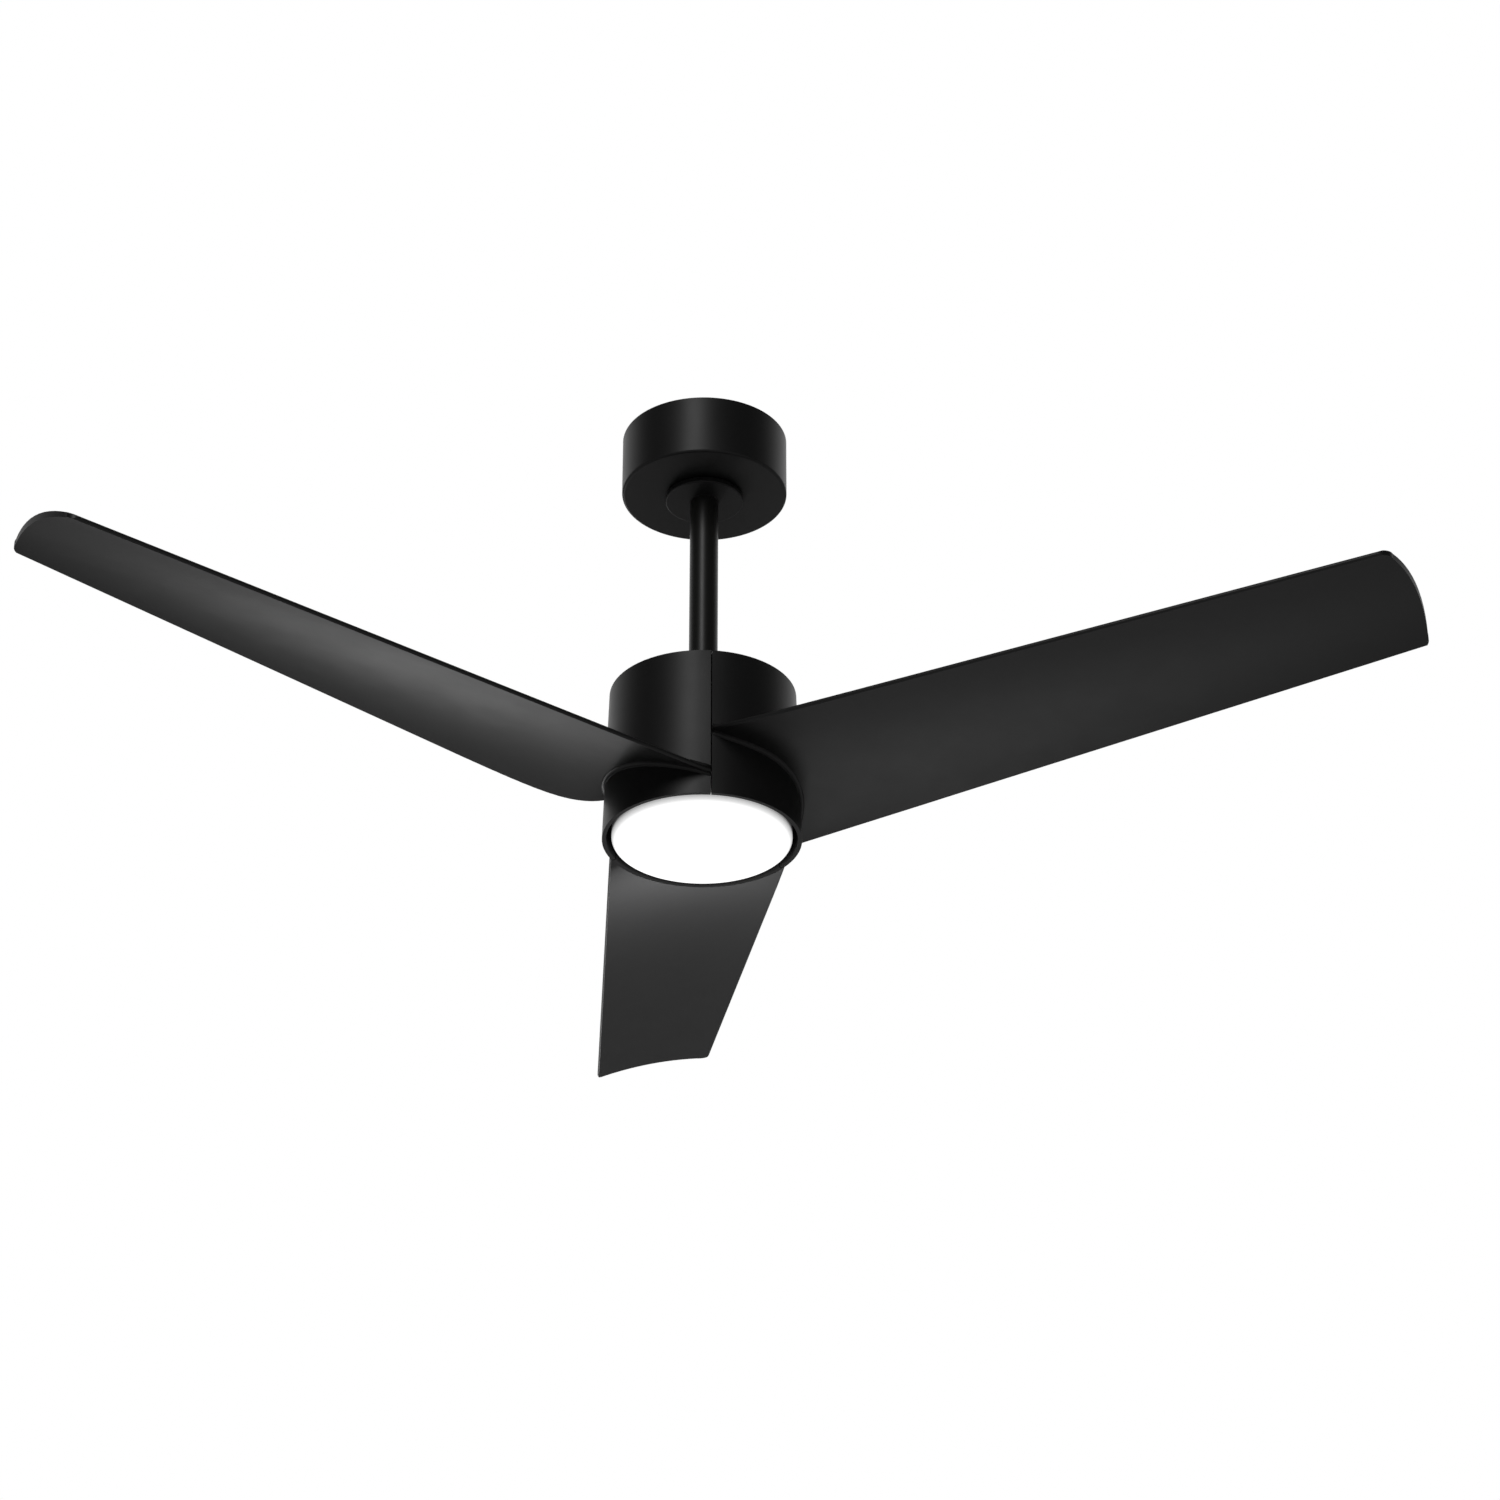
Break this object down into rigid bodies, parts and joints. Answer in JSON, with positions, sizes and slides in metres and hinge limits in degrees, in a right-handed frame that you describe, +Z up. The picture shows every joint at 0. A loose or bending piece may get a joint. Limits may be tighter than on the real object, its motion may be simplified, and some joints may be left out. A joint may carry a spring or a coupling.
{
  "type": "ceiling fan with light",
  "caption": "Ceiling fan hung from a round canopy by a short rod, with broad curved blades moulded into a drum hub and a flat round opal light under it.",
  "frame": {"origin": "centre of the ceiling bracket's top face, in the ceiling plane, on the fan's axis", "axes": "+Z up along the rod, towards the ceiling; +X to the right and -Y towards a viewer in front, with the two ceiling screw slots in line along X"},
  "size_m": [1.1446, 1.0396, 0.413],
  "materials": {
    "blade_black": "satin moulded",
    "canopy_black": "satin powder coat",
    "rod_black": "satin powder coat",
    "trim_black": "satin moulded",
    "dark_plastic": "fine texture",
    "opal": "opal acrylic",
    "bracket_steel": "black zinc plated",
    "steel": "zinc plated",
    "bearing_steel": "ground and polished",
    "cast_aluminium": "die cast",
    "lamination": "stacked laminations",
    "magnet": "sintered ferrite",
    "copper": "enamelled wire",
    "brass": "machined",
    "nylon": "moulded nylon",
    "ball_plastic": "moulded glass-filled nylon",
    "rubber": "matt",
    "circuit": "solder mask",
    "driver_case": "moulded",
    "led_board": "white solder mask",
    "led": "phosphor",
    "cable": "pvc sheath",
    "lead": "pvc insulation"
  },
  "bodies": {
    "ceiling_mount": {"ceiling_bracket": "bracket_steel", "earth_screw": "steel", "canopy": "canopy_black", "canopy_screws": "steel", "receiver_case": "dark_plastic", "receiver_lid": "dark_plastic", "receiver_board": "circuit", "receiver_screws": "steel", "terminal_block": "nylon", "terminal_sleeves": "brass", "terminal_screws": "steel", "supply_leads": "lead"},
    "seat_liner": {"seat_liner": "nylon"},
    "drop_assembly": {"hanger_ball": "ball_plastic", "ball_pin": "steel", "ball_set_screw": "steel", "downrod": "rod_black", "rod_coupling": "cast_aluminium", "clevis_pin": "steel", "hairpin_clip": "steel", "coupling_set_screws": "steel", "coupling_cover": "rod_black", "motor_shaft": "steel", "shaft_spacer": "steel", "shaft_nuts": "steel", "stator_carrier": "cast_aluminium", "stator_core": "lamination", "stator_windings": "copper", "motor_board": "circuit", "board_posts": "nylon", "bearing_inner_rings": "bearing_steel", "light_pan": "dark_plastic", "led_driver": "driver_case", "driver_screws": "steel", "led_board": "led_board", "led_board_screws": "steel", "leds": "led", "light_leads": "lead", "motor_harness": "cable", "harness_plug": "nylon", "motor_lead": "lead"},
    "canopy_trim": {"canopy_trim": "trim_black", "trim_grommet": "rubber"},
    "rotor": {"rotor_upper_housing": "cast_aluminium", "rotor_lower_housing": "cast_aluminium", "housing_screws": "steel", "rotor_back_iron": "lamination", "rotor_magnets": "magnet", "bearing_outer_rings": "bearing_steel", "blade_1": "blade_black", "blade_2": "blade_black", "blade_3": "blade_black", "blade_gaskets": "rubber", "blade_screws": "steel", "hub_top_cover": "blade_black", "top_cover_screws": "steel"},
    "bearing_cage": {"bearing_balls": "bearing_steel", "bearing_cages": "nylon"},
    "diffuser": {"diffuser": "opal"}
  },
  "joints": [
    {"name": "swing_sideways", "type": "hinge", "parent": "ceiling_mount", "child": "seat_liner", "pos_m": [0, 0, -0.032], "axis": [0, 1, 0], "range_deg": [-1.5, 1.5]},
    {"name": "swing_forwards", "type": "hinge", "parent": "seat_liner", "child": "drop_assembly", "pos_m": [0, 0, -0.032], "axis": [1, 0, 0], "range_deg": [-1.5, 1.5]},
    {"name": "trim_slide", "type": "slide", "parent": "drop_assembly", "child": "canopy_trim", "axis": [0, 0, -1], "range_m": [0, 0.17]},
    {"name": "fan_spin", "type": "hinge", "parent": "drop_assembly", "child": "rotor", "pos_m": [0, 0, -0.317], "axis": [0, 0, -1], "continuous": true},
    {"name": "bearing_cage_spin", "type": "hinge", "parent": "drop_assembly", "child": "bearing_cage", "pos_m": [0, 0, -0.317], "axis": [0, 0, -1], "continuous": true},
    {"name": "diffuser_twist", "type": "hinge", "parent": "drop_assembly", "child": "diffuser", "pos_m": [0, 0, -0.4], "axis": [0, 0, 1], "range_deg": [0, 18]}
  ],
  "couplings": [
    {"joint": "bearing_cage_spin", "follows": "fan_spin", "ratio": 0.5904}
  ]
}
